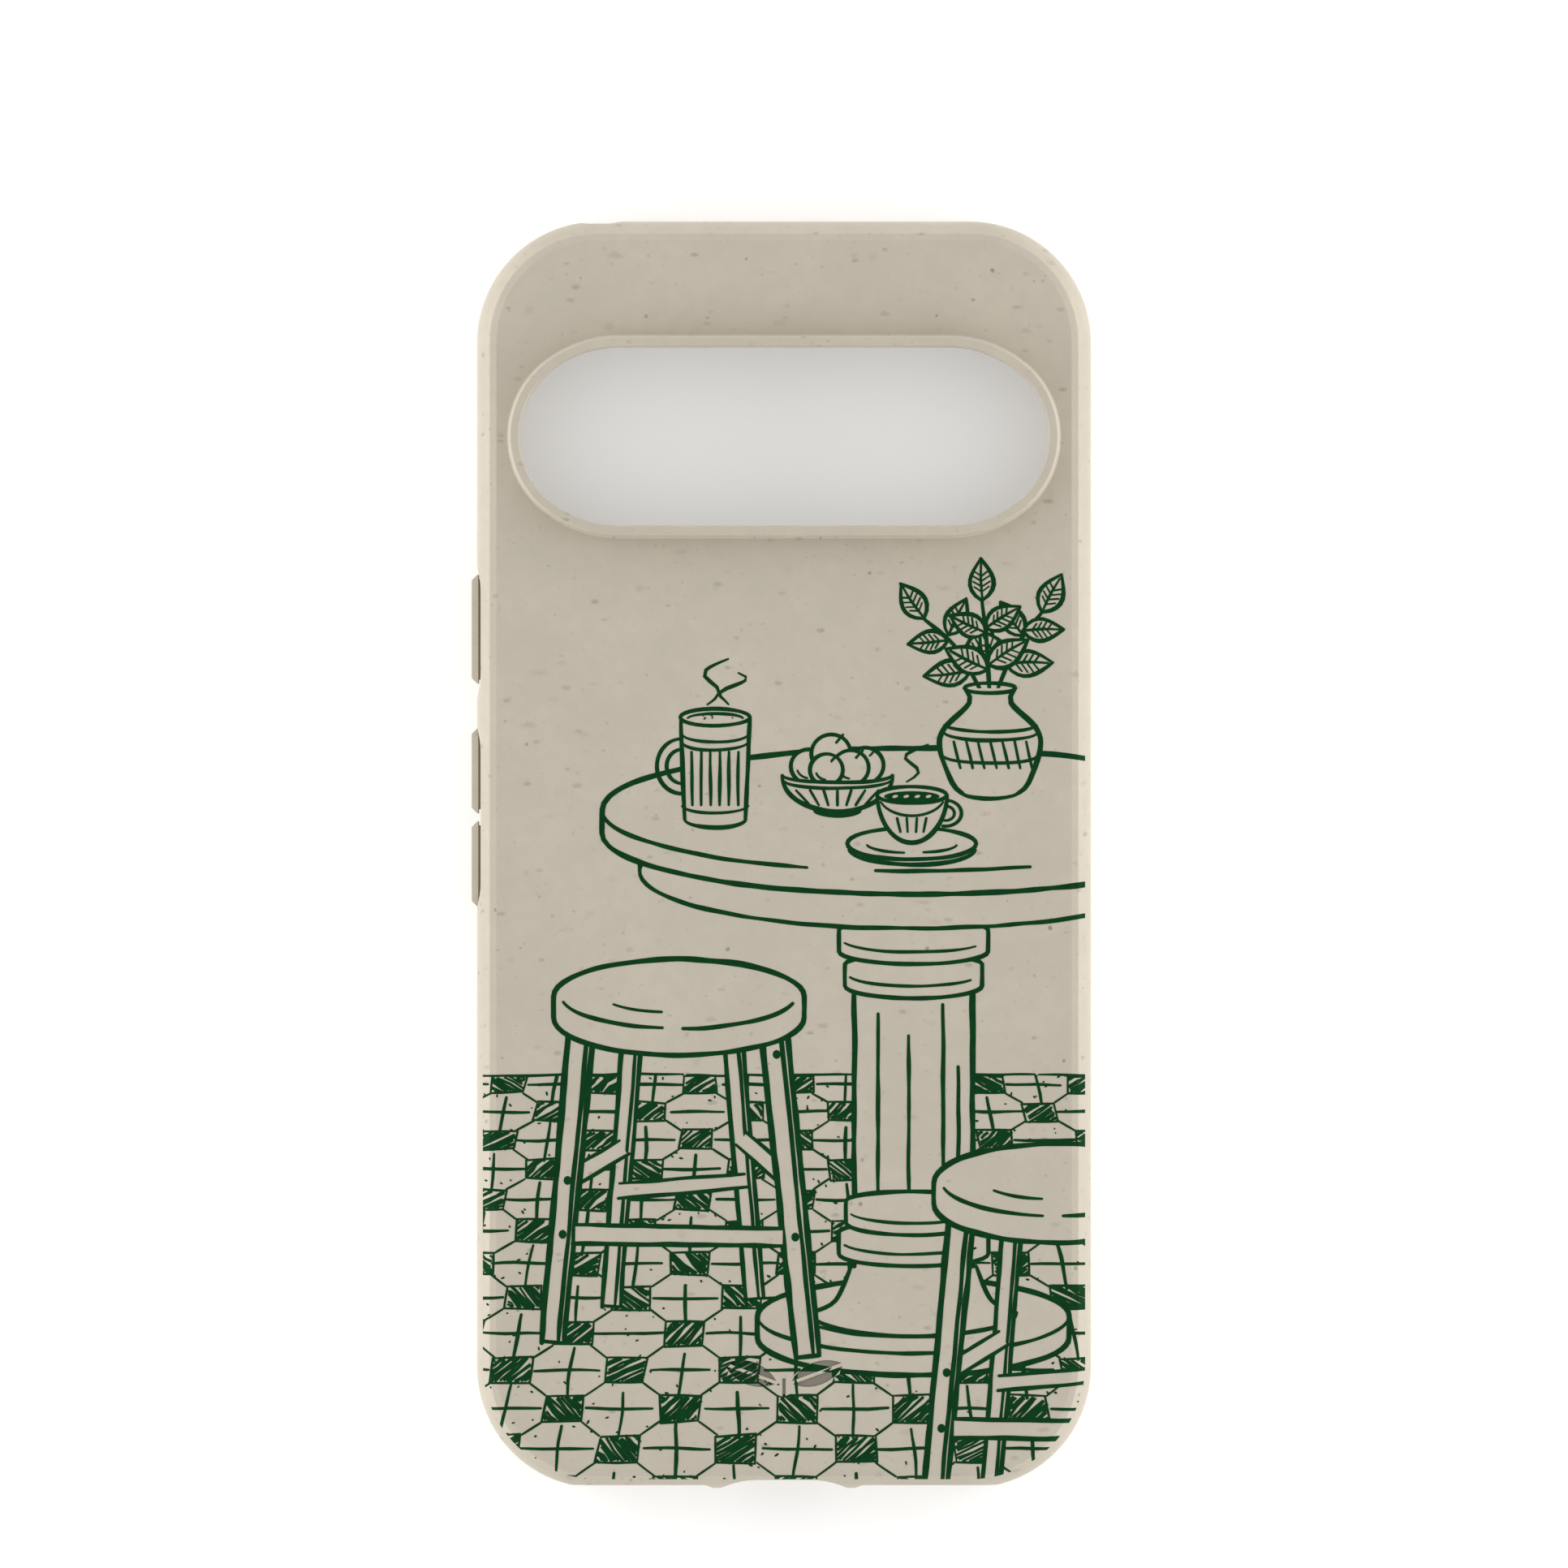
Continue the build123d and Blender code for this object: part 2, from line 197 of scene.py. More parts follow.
def is_convex(points):
    """Whether a small polygon is convex and runs anticlockwise."""
    count = len(points)
    for i in range(count):
        a, b, c = points[i], points[(i + 1) % count], points[(i + 2) % count]
        if (b - a).cross(c - b) <= 0:
            return False
    return True


def ring(x, y, rx, ry, count=40, start=0.0, end=360.0, turn=0.0):
    """Points on an ellipse, or on the part of it between two angles in degrees."""
    whole = abs(end - start) >= 360
    steps = count if whole else count + 1
    points = []
    for i in range(steps):
        angle = radians(start + (end - start) * i / count)
        px, py = rx * cos(angle), ry * sin(angle)
        tc, ts = cos(radians(turn)), sin(radians(turn))
        points.append(Vector((x + px * tc - py * ts, y + px * ts + py * tc)))
    return points


def patch(points):
    """A patch of bare case that hides what is drawn behind it."""
    points = [Vector(p) for p in points]
    area = sum(a.cross(b) for a, b in zip(points, points[1:] + points[:1]))
    layers.append((points if area > 0 else points[::-1], False))


def line(a, b, width=0.45, **more):
    """A nearly straight pen line."""
    a, b = Vector(a), Vector(b)
    return pen([a, a.lerp(b, 0.35), a.lerp(b, 0.7), b], width, **more)


def dot(x, y, size):
    """A small blot, a little longer one way."""
    turn = dice.uniform(0, 180)
    layers.append((ring(x, y, size * dice.uniform(0.8, 1.7), size * 0.75, 8, turn=turn), True))


# ======== Tiled floor ========
TILE_ROWS = 13
TILE_COLUMNS = 5  # on each side of the middle one
TILE_PITCH = 15.0
TILE_HALF = (2.55, 0.33)  # half a dark square: in millimetres across, and in rows
HORIZON = 160.0
NEAR_DROP = 238.6
NEAR_ROW = 45.0
WALL_FOOT = -27.2
SEAM_WIDTH = 0.31
SPECKS = 5


def on_floor(u, row):
    """Where a point of the floor lies in the drawing: u in millimetres at the near edge, row counted away."""
    shrink = NEAR_ROW / (NEAR_ROW + row)
    return Vector((u * shrink + 1.5, HORIZON - NEAR_DROP * shrink))


def hatch(corners):
    """Scribbled slanting lines that nearly fill a four-sided tile."""
    low = min(p.y for p in corners)
    high = max(p.y for p in corners)
    left = min(p.x for p in corners)
    right = max(p.x for p in corners)
    lean = dice.choice((-1, 1, 1)) * dice.uniform(0.9, 2.2)
    reach = (high - low) * lean
    x = left - max(reach, 0) - 0.4
    while x < right - min(reach, 0) + 0.4:
        turn = dice.uniform(-0.9, 0.9)
        start, end = clip_line(Vector((x, low)), Vector((x + reach + turn, high)), corners)
        if start is not None and (end - start).length > 0.4:
            along = (end - start).normalized()
            start = start - along * dice.uniform(-0.45, 0.15)
            end = end + along * dice.uniform(-0.45, 0.15)
            side = Vector((-along.y, along.x)) * dice.uniform(*HATCH_HALF_WIDTH)
            middle = (start + end) / 2 + side * dice.uniform(-1.2, 1.2)
            for p, q in ((start, middle), (middle, end)):
                quad = [p - side, q - side, q + side, p + side]
                if is_convex(quad):
                    layers.append((quad, True))
        x += dice.uniform(*HATCH_STEP) * sqrt(1 + lean * lean)


def clip_line(start, end, corners):
    """The stretch of a line inside a convex anticlockwise polygon, or None."""
    low, high = 0.0, 1.0
    step = end - start
    for a, b in zip(corners, corners[1:] + corners[:1]):
        edge = b - a
        inward = Vector((-edge.y, edge.x))
        distance = (start - a).dot(inward)
        rate = step.dot(inward)
        if abs(rate) < 1e-9:
            if distance < 0:
                return None, None
            continue
        cut = -distance / rate
        if rate > 0:
            low = max(low, cut)
        else:
            high = min(high, cut)
    if low >= high:
        return None, None
    return start + step * low, start + step * high


def tiled_floor():
    """Tiles with cut corners, and a dark square wherever four of them meet."""
    hu, hr = TILE_HALF
    around = ((-1, -1), (1, -1), (1, 1), (-1, 1))
    for row in range(-1, TILE_ROWS + 1):
        shift = 0.5 * (row % 2)
        for column in range(-TILE_COLUMNS, TILE_COLUMNS + 1):
            u = (column + shift) * TILE_PITCH
            middle = on_floor(u, row)
            if abs(middle.x) > PRINT_SIDE + 12 or middle.y > WALL_FOOT + 3 or middle.y < PRINT_LOW - 8:
                continue
            corners = [on_floor(u + du * hu, row + dr * hr) for du, dr in around]
            corners = [p + Vector((dice.uniform(-0.25, 0.25), dice.uniform(-0.2, 0.2))) for p in corners]
            hatch(corners)
            for a, b in zip(corners, corners[1:] + corners[:1]):
                line(a, b, SEAM_WIDTH, wobble=0.08, step=1.2)
            for du in (-1, 1):  # seams to the two squares in the next row
                near = on_floor(u + du * hu, row + hr)
                far = on_floor(u + du * (TILE_PITCH / 2 - hu), row + 1 - hr)
                line(near, far, SEAM_WIDTH, wobble=0.12, step=1.2)
            left = on_floor(u + hu + dice.uniform(-0.2, 1.0), row)
            right = on_floor(u + TILE_PITCH - hu - dice.uniform(-0.2, 1.4), row)
            line(left, right, SEAM_WIDTH * 1.2, wobble=0.22, step=1.3)
            if dice.random() < 0.8:
                near = on_floor(u + dice.uniform(-0.3, 0.3), row + hr - 0.06)
                far = on_floor(u + dice.uniform(-0.3, 0.3), row + 2 - hr - dice.uniform(0.0, 0.35))
                line(near, far, SEAM_WIDTH * dice.uniform(1.1, 1.6), wobble=0.4, step=1.0)
            for _ in range(SPECKS):  # in the tile beside this square
                speck_u = u + TILE_PITCH / 2 + dice.uniform(-4.4, 4.4)
                speck = on_floor(speck_u, row + dice.uniform(-0.72, 0.72))
                dot(speck.x, speck.y, dice.uniform(0.12, 0.2))
    patch([(-60, WALL_FOOT), (60, WALL_FOOT), (60, WALL_FOOT + 12), (-60, WALL_FOOT + 12)])
    for start, end in ((-45, -12.5), (-12.0, 8.6), (9.2, 31), (31.5, 45)):
        near = (start, WALL_FOOT + dice.uniform(-0.1, 0.1))
        far = (end, WALL_FOOT + dice.uniform(-0.1, 0.1))
        line(near, far, 0.3, wobble=0.2)


# ======== Furniture ========
def bar(top, bottom, top_half, bottom_half, width=0.5, shade=None, closed=True):
    """A leg or a rail: a bare strip with a pen line along each side, and one across its end if closed."""
    top, bottom = Vector(top), Vector(bottom)
    along = (bottom - top).normalized()
    side = Vector((-along.y, along.x))
    top_left, top_right = top + side * top_half, top - side * top_half
    end_left, end_right = bottom + side * bottom_half, bottom - side * bottom_half
    patch([top_left, end_left, end_right, top_right])
    line(top_left, end_left, width)
    line(top_right - along * 0.3, end_right + along * 0.2, width * 1.12)
    if closed:
        line(end_left, end_right, width * 0.9, wobble=0.05)
    if shade is not None:
        inner = side * shade
        line(top + inner * top_half, bottom + inner * bottom_half, width * 0.8)


def stool(x, seat, rx, ry, height, spread):
    """A plain round stool with four straight legs, joined by rails."""
    thick = 0.17 * rx
    under = seat - thick
    foot = seat - height
    back_foot = foot + 0.14 * height
    legs = {  # top, bottom, half width
        "back left": ((x - 0.36 * rx, under), (x - 0.5 * rx * spread, back_foot), 0.075 * rx),
        "back right": ((x + 0.42 * rx, under), (x + 0.56 * rx * spread, back_foot + 0.02 * height),
                       0.075 * rx),
        "front left": ((x - 0.76 * rx, under + 0.1 * rx), (x - 0.93 * rx * spread, foot + 0.04 * height),
                       0.1 * rx),
        "front right": ((x + 0.74 * rx, under + 0.1 * rx), (x + 0.95 * rx * spread, foot), 0.105 * rx),
    }

    def on_leg(name, share):
        top, bottom, _ = legs[name]
        return Vector(top).lerp(Vector(bottom), share)

    for name in ("back left", "back right"):
        top, bottom, half = legs[name]
        bar(top, bottom, half, half * 0.95, 0.5, shade=0.45)
    rails = (("back left", "back right", 0.6, 0.58, 0.06), ("front left", "back left", 0.52, 0.45, 0.07),
             ("front right", "back right", 0.5, 0.43, 0.07))
    for one, other, share, other_share, half in rails:
        bar(on_leg(one, share), on_leg(other, other_share), half * rx, half * rx * 0.9, 0.42, closed=False)
    for name in ("front left", "front right"):
        top, bottom, half = legs[name]
        bar(top, bottom, half, half * 0.9, 0.66, shade=0.5)
    inset = Vector((0.1 * rx, 0))
    bar(on_leg("front left", 0.68) + inset, on_leg("front right", 0.66) - inset, 0.075 * rx, 0.07 * rx, 0.52,
        closed=False)
    pegs = (("front left", 0.68), ("front right", 0.66), ("front left", 0.52), ("front right", 0.14))
    for name, share in pegs:
        peg = on_leg(name, share)
        layers.append((ring(peg.x, peg.y, 0.032 * rx, 0.036 * rx, 12), True))
    outline = ring(x, seat, rx, ry, 24, 0, 180) + ring(x, under, rx, ry, 24, 180, 360)
    patch(outline)
    pen(outline, 0.62, closed=True)
    pen(ring(x, seat + 0.04 * ry, rx * 0.94, ry * 0.9, 20, 192, 262), 0.48)
    pen(ring(x, seat + 0.04 * ry, rx * 0.94, ry * 0.9, 20, 272, 345), 0.5)
    pen(ring(x, seat + 0.16 * ry, rx * 0.66, ry * 0.6, 12, 218, 258), 0.4)


def table(x, top, rx, ry, foot):
    """A round table on a plain fluted column with a flat round foot."""
    column = 0.19 * rx
    base = 0.5 * rx
    flat = 0.12 * rx
    slab = ring(x, foot, base, flat, 30, 0, 180) + ring(x, foot - 0.07 * rx, base, flat, 30, 180, 360)
    patch(slab)
    pen(slab, 0.62, closed=True)
    pen(ring(x, foot, base, flat, 30, 184, 356), 0.45)
    pen(ring(x, foot + 0.02 * rx, base * 0.8, flat * 0.72, 20, 200, 290), 0.36)
    lower = foot + 0.16 * rx
    upper = top - 0.34 * rx
    flare = [(x - 0.33 * rx, foot + 0.01 * rx), (x - 0.25 * rx, foot + 0.05 * rx), (x - 1.06 * column, lower)]
    mirror_flare = [(2 * x - px, py) for px, py in flare]
    patch(flare + mirror_flare[::-1])
    patch(ring(x, foot + 0.01 * rx, 0.33 * rx, 0.075 * rx, 30))
    pen(flare, 0.55)
    pen(mirror_flare, 0.55)
    pen(ring(x, foot + 0.01 * rx, 0.33 * rx, 0.075 * rx, 20, 180, 360), 0.52)
    patch([(x - column, lower), (x + column, lower), (x + column, top), (x - column, top)])
    line((x - column, lower), (x - column, upper), 0.62)
    line((x + column, lower), (x + column, upper), 0.66)
    for share, low, high in ((-0.6, 0.34, 0.97), (-0.08, 0.38, 0.9), (0.5, 0.34, 1.0), (0.76, 0.42, 0.8)):
        line((x + share * column, foot + low * rx), (x + share * column, foot + high * rx), 0.46)
    for height, grow in ((0.2, 1.26), (0.3, 1.14), (1.06, 1.16), (1.17, 1.26)):
        collar = foot + height * rx
        half = column * grow
        thick = 0.07 * rx
        shape = ring(x, collar + thick, half, 0.03 * rx, 12, 0, 180)
        shape += ring(x, collar, half, 0.04 * rx, 16, 180, 360)
        patch(shape)
        pen(shape, 0.5, closed=True, wobble=0.06)
        pen(ring(x, collar + 0.55 * thick, half * 0.96, 0.04 * rx, 14, 196, 330), 0.36)
    drop = 0.2 * rx
    in_rx = 0.88 * rx
    apron = ring(x, top, in_rx, ry * 0.92, 30, 0, 180) + ring(x, top - drop, in_rx, ry * 0.92, 30, 180, 360)
    patch(apron)
    pen(ring(x, top - drop, in_rx, ry * 0.92, 36, 172, 366), 0.5)
    line((x - in_rx, top - 0.1 * rx), (x - in_rx, top - drop), 0.48)
    edge = ring(x, top, rx, ry, 30, 0, 180) + ring(x, top - 0.075 * rx, rx, ry, 30, 180, 360)
    patch(edge)
    pen(edge, 0.6, closed=True)
    pen(ring(x, top, rx, ry, 34, 184, 250), 0.5)
    pen(ring(x, top, rx, ry, 20, 263, 292), 0.48)


# ======== Things on the table ========
def steam(x, y, height, wisps=2):
    """Wisps that sway as they rise."""
    for k in range(wisps):
        tall = height * (1 - 0.3 * k)
        wisp = []
        for i in range(9):
            share = i / 8
            sway = (0.8 + 0.9 * share) * sin(2.2 * pi * share + 2.4 * k)
            wisp.append((x + 2.1 * k + sway + 1.6 * share, y + tall * share))
        pen(wisp, 0.42, taper=0.5)


def mug(x, base, half, height):
    """A straight mug with a round handle and plain bands."""
    rim = base + height
    flat = 0.24 * half
    for size in (1.0, 0.62):
        rx, ry = 0.72 * half * size, 0.27 * height * size
        pen(ring(x - 0.95 * half, base + 0.52 * height, rx, ry, 20, 80, 285), 0.48)
    underside = ring(x, base, 0.88 * half, flat, 12, 180, 360)
    body = [(x - half, rim), (x - 0.88 * half, base)] + underside + [(x + half, rim)]
    patch(body + ring(x, rim, half, flat, 14, 0, 180))
    line((x - half, rim), (x - 0.88 * half, base), 0.52)
    line((x + half, rim), (x + 0.88 * half, base), 0.56)
    pen(ring(x, base, 0.88 * half, flat, 14, 180, 360), 0.5)
    pen(ring(x, rim, half, flat, 26), 0.46, closed=True, wobble=0.06)
    pen(ring(x, rim - 0.05 * half, 0.8 * half, flat * 0.66, 16, 10, 170), 0.36)
    for share in (0.16, 0.24, 0.86):
        pen(ring(x, rim - share * height, half * 0.96, flat, 14, 188, 352), 0.38)
    for k in range(6):
        stripe = x + half * (-0.68 + 0.27 * k)
        line((stripe, base + 0.66 * height), (stripe * 0.97 + x * 0.03, base + 0.14 * height), 0.4)
    for _ in range(9):
        dot(x + half * dice.uniform(-0.6, 0.6), rim - flat * dice.uniform(-0.5, 0.3), 0.12)
    steam(x - 1.0, rim + 1.6, 5.6)


def cup(x, base, half, height):
    """A wide cup on its saucer."""
    wide, flat = 1.85 * half, 0.46 * half
    patch(ring(x, base, wide, flat, 20, 0, 180) + ring(x, base - 0.14 * half, wide, flat, 20, 180, 360))
    pen(ring(x, base, wide, flat, 36), 0.48, closed=True)
    pen(ring(x, base - 0.15 * half, 1.82 * half, flat, 24, 184, 356), 0.5)
    pen(ring(x, base + 0.02, 1.3 * half, 0.27 * half, 14, 190, 260), 0.36)
    pen(ring(x, base + 0.02, 1.3 * half, 0.27 * half, 14, 285, 350), 0.36)
    rim = base + height
    for size in (1.0, 0.55):
        rx, ry = 0.46 * half * size, 0.27 * height * size
        pen(ring(x + 0.97 * half, base + 0.62 * height, rx, ry, 18, -100, 100), 0.46)
    bowl = ring(x, rim, half, height * 0.98, 24, 180, 360)
    patch(bowl + ring(x, rim, half, 0.24 * half, 16, 0, 180))
    pen(bowl, 0.55)
    pen(ring(x, rim, half, 0.24 * half, 26), 0.45, closed=True, wobble=0.05)
    layers.append((ring(x, rim - 0.04 * half, 0.8 * half, 0.15 * half, 24), True))
    for k in range(4):  # glints on the drink
        glint_x = x - 0.48 * half + 0.32 * half * k
        layers.append((ring(glint_x, rim - 0.04 * half, 0.09 * half, 0.045 * half, 8, turn=14), False))
    for k in range(4):  # a band of plain strokes
        across = -0.42 + 0.28 * k
        line((x + across * half, rim - 0.48 * height), (x + 0.8 * across * half, rim - 0.76 * height), 0.38)
    pen(ring(x, rim, 0.95 * half, height * 0.42, 14, 200, 340), 0.34)
    steam(x - 0.6, rim + 1.6, 4.6, wisps=1)


def fruit_bowl(x, base, half):
    """Round fruits in a shallow bowl."""
    rim = base + 0.62 * half
    fruits = ((-0.52, 0.16, 0.33), (0.5, 0.18, 0.34), (-0.12, 0.4, 0.36), (0.24, 0.14, 0.33),
              (-0.2, 0.1, 0.3))
    for fx, fy, size in fruits:
        fruit_x, fruit_y, radius = x + fx * half, rim + fy * half, size * half
        disc = ring(fruit_x, fruit_y, radius, radius * 0.95, 28)
        patch(disc)
        pen(disc, 0.45, closed=True)
        pen(ring(fruit_x, fruit_y, radius * 0.66, radius * 0.62, 10, 200, 262), 0.36)
        dimple = (fruit_x + 0.1 * half, fruit_y + 0.55 * radius)
        dot(*dimple, 0.17)
        line(dimple, (fruit_x + 0.22 * half, fruit_y + 0.95 * radius), 0.36)
    shape = ring(x, rim, half, 0.66 * half, 26, 180, 360)
    patch(shape + ring(x, rim, half, 0.13 * half, 16, 180, 360)[::-1][1:-1])
    pen(shape, 0.55)
    pen(ring(x, rim, half, 0.13 * half, 22, 180, 360), 0.45)
    pen(ring(x, rim - 0.09 * half, half * 0.97, 0.14 * half, 22, 186, 354), 0.36)
    pen(ring(x, base - 0.02 * half, 0.42 * half, 0.09 * half, 14, 180, 360), 0.48)
    for k in range(-3, 4):
        line((x + 0.25 * k * half, rim - 0.27 * half), (x + 0.17 * k * half, rim - 0.54 * half), 0.4)


def leaf(x, y, length, half, turn):
    """A pointed leaf with a rib and side veins."""
    tc, ts = cos(radians(turn)), sin(radians(turn))

    def at(u, v):
        return Vector((x + u * tc - v * ts, y + u * ts + v * tc))

    swell = [sin(pi * (k / 8) ** 0.8) for k in range(9)]
    upper = [at(length * k / 8, half * swell[k]) for k in range(9)]
    lower = [at(length * k / 8, -half * swell[k]) for k in range(9)]
    patch(upper + lower[-2:0:-1])
    pen(upper, LEAF_PEN)
    pen(lower, LEAF_PEN * 1.15)
    pen([at(0, 0), at(length * 0.5, 0.08 * half), at(length * 0.9, 0)], LEAF_PEN * 0.8)
    for k in (2, 3, 4, 5):
        for side in (-1, 1):
            reach = 0.7 * half * swell[k]
            root = at(length * (k - 0.3) / 8, 0)
            tip = at(length * (k + 0.7) / 8, side * reach)
            line(root, tip, LEAF_PEN * 0.62, wobble=0.05)


def vase(x, base, half, height):
    """A round-bellied vase with leafy stems."""
    mouth = base + height
    for reach, tall, lean in ((-8.2, 8.6, -34), (6.4, 9.4, 28), (-1.0, 10.8, -2)):
        stem = [(x + 0.06 * reach, mouth - 1.5), (x + 0.5 * reach, mouth + 0.55 * tall),
                (x + reach, mouth + tall)]
        path = pen(stem, 0.5)
        for k, share in enumerate((0.36, 0.68)):
            joint = path[int(share * (len(path) - 1))]
            size = 5.8 - 0.8 * k
            leaf(joint.x, joint.y, size, size * 0.27, 152 - lean)
            leaf(joint.x, joint.y + 0.6, size, size * 0.27, 30 - lean)
        leaf(path[-1].x, path[-1].y, 5.2, 1.5, 90 - lean)
    left = [(x - 0.5 * half, mouth), (x - 0.42 * half, mouth - 0.14 * height),
            (x - 0.92 * half, base + 0.62 * height), (x - half, base + 0.42 * height),
            (x - 0.76 * half, base + 0.1 * height), (x - 0.55 * half, base)]
    left_path = smooth_path(left, step=0.6)
    right_path = [Vector((2 * x - p.x, p.y)) for p in left_path]
    patch(left_path + ring(x, base, 0.55 * half, 0.1 * half, 8, 180, 360)[1:-1] + right_path[::-1])
    pen(left, 0.6)
    pen([(2 * x - px, py) for px, py in left], 0.64)
    pen(ring(x, base, 0.55 * half, 0.1 * half, 10, 180, 360), 0.52)
    pen(ring(x, mouth, 0.52 * half, 0.1 * half, 20), 0.46, closed=True, wobble=0.04)
    for share in (0.66, 0.58, 0.36):
        pen(ring(x, base + share * height, 0.93 * half, 0.16 * half, 14, 190, 350), 0.42)
    for k in range(-3, 4):
        start = (x + 0.24 * k * half, base + 0.5 * height - 0.1)
        end = (x + (0.24 * k + 0.12) * half, base + 0.24 * height)
        line(start, end, 0.4)


def draw():
    """The whole drawing, from the back to the front."""
    tiled_floor()
    table(x=16.0, top=5.6, rx=38.5, ry=7.6, foot=-57.0)
    vase(x=25.5, base=7.6, half=6.2, height=13.0)
    mug(x=-8.5, base=4.4, half=4.3, height=12.6)
    fruit_bowl(x=6.6, base=5.6, half=6.8)
    cup(x=15.8, base=1.4, half=4.3, height=6.0)
    stool(x=-13.0, seat=-17.5, rx=15.5, ry=4.6, height=44.5, spread=1.08)
    stool(x=34.0, seat=-40.5, rx=15.5, ry=4.8, height=46.0, spread=1.1)


# ======== Printed film ========
def field_outline():
    """The edge of the printed field, which follows the case's outline; it runs anticlockwise."""
    side, low, corner = PRINT_SIDE, PRINT_LOW, PRINT_CORNER
    points = [Vector((side, PRINT_HIGH)), Vector((-side, PRINT_HIGH))]
    points += ring(-side + corner, low + corner, corner, corner, 24, 180, 270)
    points += ring(side - corner, low + corner, corner, corner, 24, 270, 360)
    return points


def back_faces(shell):
    """The planes of the shell's upward faces, and the ridges and hollows between them, in millimetres."""
    mesh = shell.data
    points = [v.co / MM for v in mesh.vertices]
    corners, planes, seams = [], [], {}
    for face in mesh.polygons:
        own = [points[i] for i in face.vertices]
        if face.normal.z < UPWARD or min(p.z for p in own) < LOWEST_INK:
            continue
        corners.append(own)
        planes.append((own[0], face.normal.copy()))
        keys = [(round(p.x, 3), round(p.y, 3)) for p in own]
        for one, other in zip(keys, keys[1:] + keys[:1]):
            if one != other:
                seams.setdefault((min(one, other), max(one, other)), []).append(face.normal.copy())
    folds = []
    for (one, other), normals in seams.items():
        if len(normals) < 2 or any(n.dot(normals[0]) < FLAT_ENOUGH for n in normals[1:]):
            folds.append((Vector(one), Vector(other)))
    return corners, planes, folds


def outline_of(pieces):
    """The edges that only one of the triangles has."""
    rim = {}
    for piece in pieces:
        for one, other in zip(piece, piece[1:] + piece[:1]):
            if (other, one) in rim:
                del rim[(other, one)]
            else:
                rim[(one, other)] = True
    return list(rim)


def straightened(rim, points):
    """The same outlines without the points that lie on an almost straight run."""
    ahead, behind = {}, {}
    for one, other in rim:
        ahead.setdefault(one, []).append(other)
        behind.setdefault(other, []).append(one)
    kept = dict(ahead)
    for i in list(ahead):
        if len(kept.get(i, ())) != 1 or len(behind.get(i, ())) != 1:
            continue
        a, b = behind[i][0], kept[i][0]
        if a == b or len(kept.get(a, ())) != 1 or len(behind.get(b, ())) != 1:
            continue
        chord = points[b] - points[a]
        if chord.length > LONGEST_RUN or chord.length < 1e-6:
            continue
        if abs(chord.cross(points[i] - points[a])) / chord.length < STRAIGHT_ENOUGH:
            kept[a] = [b]
            behind[b] = [a]
            del kept[i], behind[i]
    return [(one, other) for one, others in kept.items() for other in others]


def stack():
    """A search tree of the drawing's layers, each a little above the one behind it."""
    points, shapes = [], []
    for level, (shape, _) in enumerate(layers):
        shapes.append(list(range(len(points), len(points) + len(shape))))
        points += [(p.x, p.y, level * LAYER_STEP) for p in shape]
    return BVHTree.FromPolygons(points, shapes)


def only_ink(pieces, points, tree):
    """The triangles whose front layer is ink."""
    kept = []
    for piece in pieces:
        middle = (points[piece[0]] + points[piece[1]] + points[piece[2]]) / 3
        front = tree.ray_cast(Vector((middle.x, middle.y, ABOVE_LAYERS)), Vector((0, 0, -1)))[2]
        if front is not None and layers[front][1] and in_field(middle):
            kept.append(piece)
    return kept


def in_field(point):
    """Whether a point lies in the printed field."""
    x, y = abs(point.x), point.y
    if x > PRINT_SIDE or not PRINT_LOW < y < PRINT_HIGH:
        return False
    into_corner = Vector((x - PRINT_SIDE + PRINT_CORNER, PRINT_LOW + PRINT_CORNER - y))
    return min(into_corner) <= 0 or into_corner.length < PRINT_CORNER


def cut(verts, edges, front):
    """The plane cut along the edges: its points, and those of its triangles that are ink."""
    points, _, pieces, _, _, _ = delaunay_2d_cdt(verts, edges, [], 0, WELD)
    return points, only_ink(pieces, points, front)


def flat_ink(folds):
    """The ink in the plane, cut along its own outlines and along the shell's ridges and hollows."""
    front = stack()
    verts, edges = [], []
    for points in [field_outline()] + [shape for shape, _ in layers]:
        first, count = len(verts), len(points)
        edges += [(first + i, first + (i + 1) % count) for i in range(count)]
        verts += [p.copy() for p in points]
    drawn, inked = cut(verts, edges, front)

    rim = straightened(outline_of(inked), drawn)
    used = sorted({i for edge in rim for i in edge})
    place = {i: k for k, i in enumerate(used)}
    verts = [drawn[i].copy() for i in used]
    edges = [(place[a], place[b]) for a, b in rim]
    for a, b in folds:
        edges.append((len(verts), len(verts) + 1))
        verts += [a, b]
    return cut(verts, edges, front)


def laid_on(corners, planes, flat, inked):
    """The ink's triangles on the shell, and the shell's height at each of their (point, level) corners.

    A point at a step in the shell has a level for each of its heights.
    """
    tree = BVHTree.FromPolygons([p for own in corners for p in own],
                                [[3 * i, 3 * i + 1, 3 * i + 2] for i in range(len(corners))])
    heights = {}
    faces = []
    for piece in inked:
        middle = sum((flat[i] for i in piece), Vector((0, 0))) / 3
        hit = tree.ray_cast(Vector((middle.x, middle.y, ABOVE_SHELL)), Vector((0, 0, -1)))
        if hit[2] is None:
            continue
        origin, normal = planes[hit[2]]
        own = []
        for i in piece:
            point = flat[i]
            z = origin.z - ((point.x - origin.x) * normal.x + (point.y - origin.y) * normal.y) / normal.z
            level = 0
            while abs(heights.setdefault((i, level), z) - z) > SAME_HEIGHT:
                level += 1
            own.append((i, level))
        faces.append(own)
    return faces, heights


